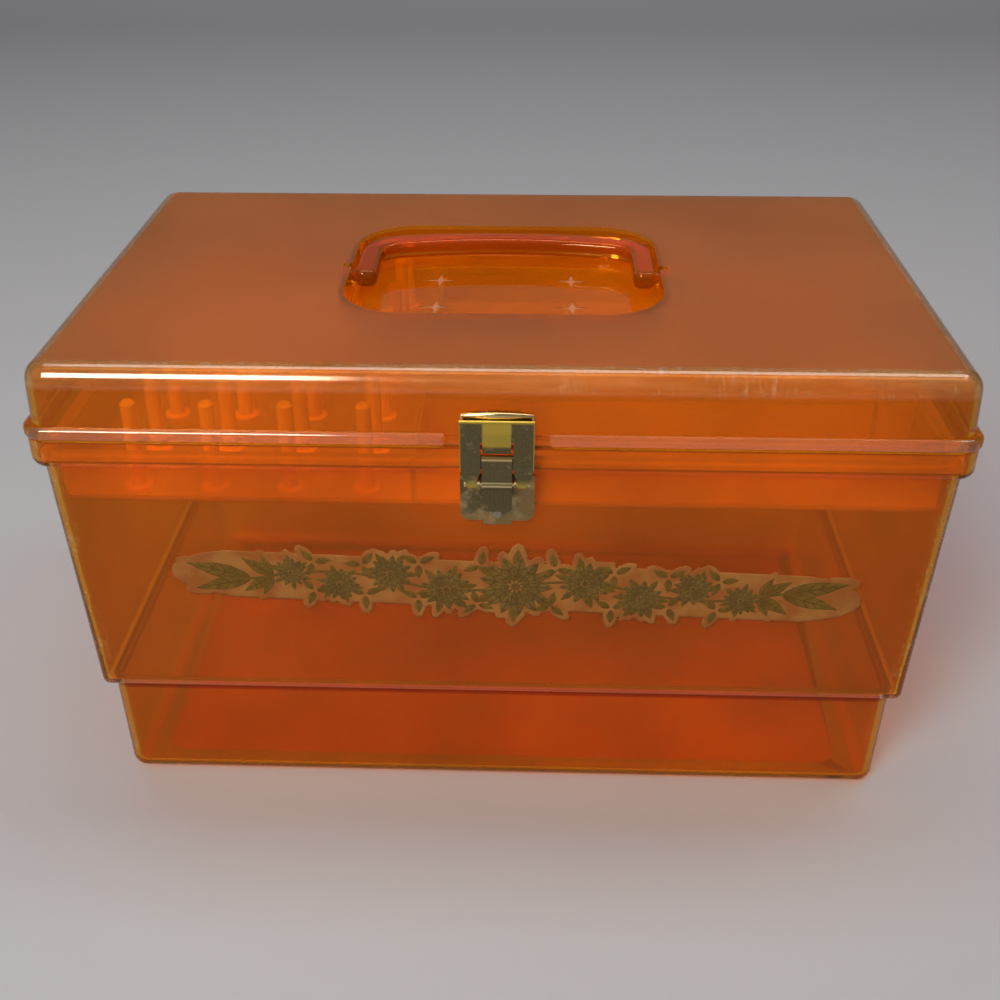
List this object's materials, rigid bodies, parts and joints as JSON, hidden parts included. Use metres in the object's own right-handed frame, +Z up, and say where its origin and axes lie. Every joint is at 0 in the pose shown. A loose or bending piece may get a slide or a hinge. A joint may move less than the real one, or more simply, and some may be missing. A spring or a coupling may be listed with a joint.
{
  "type": "sewing box",
  "caption": "Translucent plastic sewing box with a rimmed tub, shallow lid with a sunk bail handle, lift-out tray with spool pegs, brass hinges and a rocker catch.",
  "frame": {"origin": "on the floor under the middle of the box's width and depth", "axes": "+X to the right along the box's width seen from the catch side, +Y from the catch to the hinges, +Z up"},
  "size_m": [0.35, 0.2242, 0.2],
  "materials": {
    "amber_plastic": "translucent amber, polished",
    "amber_lid": "translucent amber, polished, with a matte grained top panel",
    "amber_handle": "translucent amber, polished",
    "tray_plastic": "translucent amber, satin",
    "peg_plastic": "translucent amber, satin",
    "brass": "plated, worn",
    "brass_tarnished": "plated, tarnished olive brown",
    "steel": "plain",
    "film": "printed film"
  },
  "bodies": {
    "tub": {"base_tub": "amber_plastic", "latch_bracket": "brass_tarnished", "latch_bracket_rivets": "steel", "latch_pin": "brass", "latch_spring": "steel", "hinge_base_leaf_left": "brass", "hinge_base_leaf_right": "brass", "hinge_base_rivets": "brass", "hinge_pin_left": "brass", "hinge_pin_right": "brass", "front_garland": "film"},
    "lid": {"lid": "amber_lid", "latch_keeper": "brass", "latch_keeper_rivets": "steel", "hinge_lid_leaf_left": "brass", "hinge_lid_leaf_right": "brass", "hinge_lid_rivets": "brass"},
    "handle": {"handle": "amber_handle"},
    "tray": {"tray": "tray_plastic", "spool_pegs": "peg_plastic"},
    "latch_rocker": {"latch_frame": "brass_tarnished", "latch_thumb_strip": "brass_tarnished"}
  },
  "joints": [
    {"name": "lid_hinge", "type": "hinge", "parent": "tub", "child": "lid", "pos_m": [0, 0.1099, 0.171], "axis": [-1, 0, 0], "range_deg": [0, 105]},
    {"name": "handle_pivot", "type": "hinge", "parent": "lid", "child": "handle", "pos_m": [0, 0, 0.1953], "axis": [1, 0, 0], "range_deg": [0, 180]},
    {"name": "latch_pivot", "type": "hinge", "parent": "tub", "child": "latch_rocker", "pos_m": [0, -0.10808, 0.1568], "axis": [1, 0, 0], "range_deg": [0, 15], "stiffness_Nm_per_rad": 0.03, "springref_deg": -28.65},
    {"name": "tray_lift", "type": "slide", "parent": "tub", "child": "tray", "axis": [0, 0, 1], "range_m": [0, 0.004]}
  ]
}
